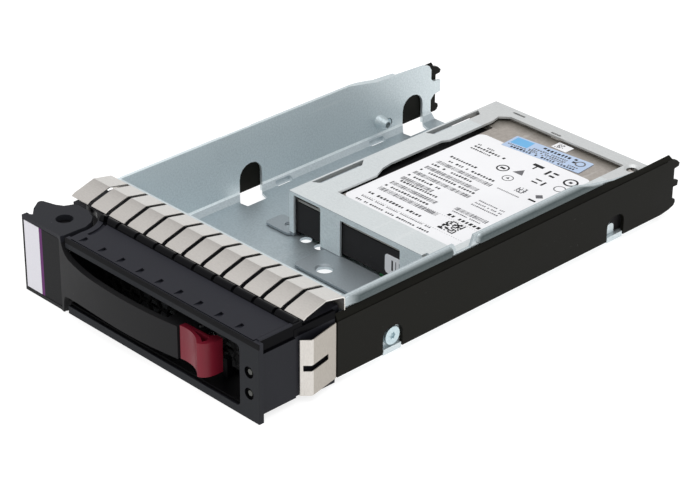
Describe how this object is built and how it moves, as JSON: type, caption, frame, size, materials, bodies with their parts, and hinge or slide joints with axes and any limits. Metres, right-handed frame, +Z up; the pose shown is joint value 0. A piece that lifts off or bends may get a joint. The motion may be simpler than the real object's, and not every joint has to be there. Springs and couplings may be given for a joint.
{
  "type": "hard disk drive in hot-plug carrier",
  "caption": "Hard disk drive in a hot-plug carrier tray: bezel with swinging ejector lever and latch, side rails, shielding springs, adapter bracket and working drive inside.",
  "frame": {"origin": "centre of the tray's underside, midway between the front and rear rail screw places and midway between the two side rails", "axes": "+Y runs from the bezel to the drive connector (the insertion direction, longest extent), +X to the right seen from the bezel, +Z up (shortest extent)"},
  "size_m": [0.1126, 0.1905, 0.0295],
  "materials": {
    "zinc_plated_steel": "zinc-plated steel sheet, satin, cool grey",
    "bracket_steel": "pale zinc-plated steel sheet, fine grain",
    "shield_spring_steel": "warm beige-silver spring strip, satin",
    "charcoal_plastic": "charcoal moulded plastic, fine spark texture",
    "rail_plastic": "black moulded plastic, satin",
    "maroon_plastic": "maroon moulded plastic, semi-gloss",
    "light_pipe_plastic": "clear grey moulded light pipe",
    "plated_screws": "bright zinc-plated screws",
    "label_paper": null,
    "blue_film": null,
    "coated_casting": "aluminium casting with black electro-coat",
    "cover_steel": "warm grey stamped cover, satin",
    "circuit_laminate": "green solder mask on glass laminate",
    "black_plastic": "black moulded plastic",
    "gasket_rubber": "black rubber gasket",
    "machined_aluminium": "machined aluminium",
    "disk_mirror": "polished disk surface",
    "nickel_steel": "nickel-plated steel",
    "copper_winding": "copper winding, lacquered",
    "flex_film": "amber flexible circuit film",
    "ramp_plastic": "pale moulded plastic",
    "filter_felt": "white filter felt"
  },
  "bodies": {
    "carrier": {"tray": "zinc_plated_steel", "drive_bracket": "bracket_steel", "emi_finger_strip": "shield_spring_steel", "emi_clip_right": "shield_spring_steel", "emi_clip_left": "shield_spring_steel", "bezel": "charcoal_plastic", "left_rail": "rail_plastic", "right_rail": "rail_plastic", "light_pipe_lower": "light_pipe_plastic", "light_pipe_upper": "light_pipe_plastic", "rail_screw_right_front": "plated_screws", "rail_screw_left_front": "plated_screws", "rail_screw_left_rear": "plated_screws", "drive_screw_front": "plated_screws", "drive_screw_rear": "plated_screws", "drive_label": "label_paper", "small_tag": "label_paper", "front_tag": "label_paper", "asset_label": "blue_film", "drive_base": "coated_casting", "drive_cover": "cover_steel", "circuit_board": "circuit_laminate", "honeycomb_vent": "black_plastic", "sas_connector": "black_plastic", "seal_tape": "black_plastic", "lever_pin": "black_plastic", "cover_gasket": "gasket_rubber", "lever_spring": "nickel_steel", "magnet_yoke_lower": "nickel_steel", "magnet_yoke_upper": "nickel_steel", "actuator_pivot": "nickel_steel", "cover_screw_1": "nickel_steel", "cover_screw_2": "nickel_steel", "cover_screw_3": "nickel_steel", "cover_screw_4": "nickel_steel", "cover_screw_5": "nickel_steel", "motor_stator": "copper_winding", "flex_cable": "flex_film", "head_ramp": "ramp_plastic", "air_filter": "filter_felt"},
    "lever": {"ejector_lever": "charcoal_plastic", "lever_label": "label_paper", "latch_pin": "nickel_steel", "latch_spring": "nickel_steel"},
    "latch": {"release_latch": "maroon_plastic"},
    "spindle": {"spindle_hub": "machined_aluminium", "platter_lower": "disk_mirror", "platter_upper": "disk_mirror", "platter_spacer": "machined_aluminium", "disk_clamp": "nickel_steel", "clamp_screw": "nickel_steel"},
    "actuator": {"actuator_arm": "machined_aluminium", "voice_coil": "copper_winding", "head_suspension_1": "nickel_steel", "head_suspension_2": "nickel_steel", "head_suspension_3": "nickel_steel", "head_suspension_4": "nickel_steel"}
  },
  "joints": [
    {"name": "lever_swing", "type": "hinge", "parent": "carrier", "child": "lever", "pos_m": [-0.0427, -0.0976, 0.0116], "axis": [0, 0, -1], "range_deg": [0, 36]},
    {"name": "latch_release", "type": "hinge", "parent": "lever", "child": "latch", "pos_m": [0.024, -0.10015, 0.0112], "axis": [0, 0, 1], "range_deg": [0, 9]},
    {"name": "spindle_spin", "type": "hinge", "parent": "carrier", "child": "spindle", "pos_m": [0.0154, 0.01205, 0.0096], "axis": [0, 0, 1], "continuous": true},
    {"name": "actuator_swing", "type": "hinge", "parent": "carrier", "child": "actuator", "pos_m": [0.0244, 0.04895, 0.0096], "axis": [0, 0, 1], "range_deg": [0, 32]}
  ]
}
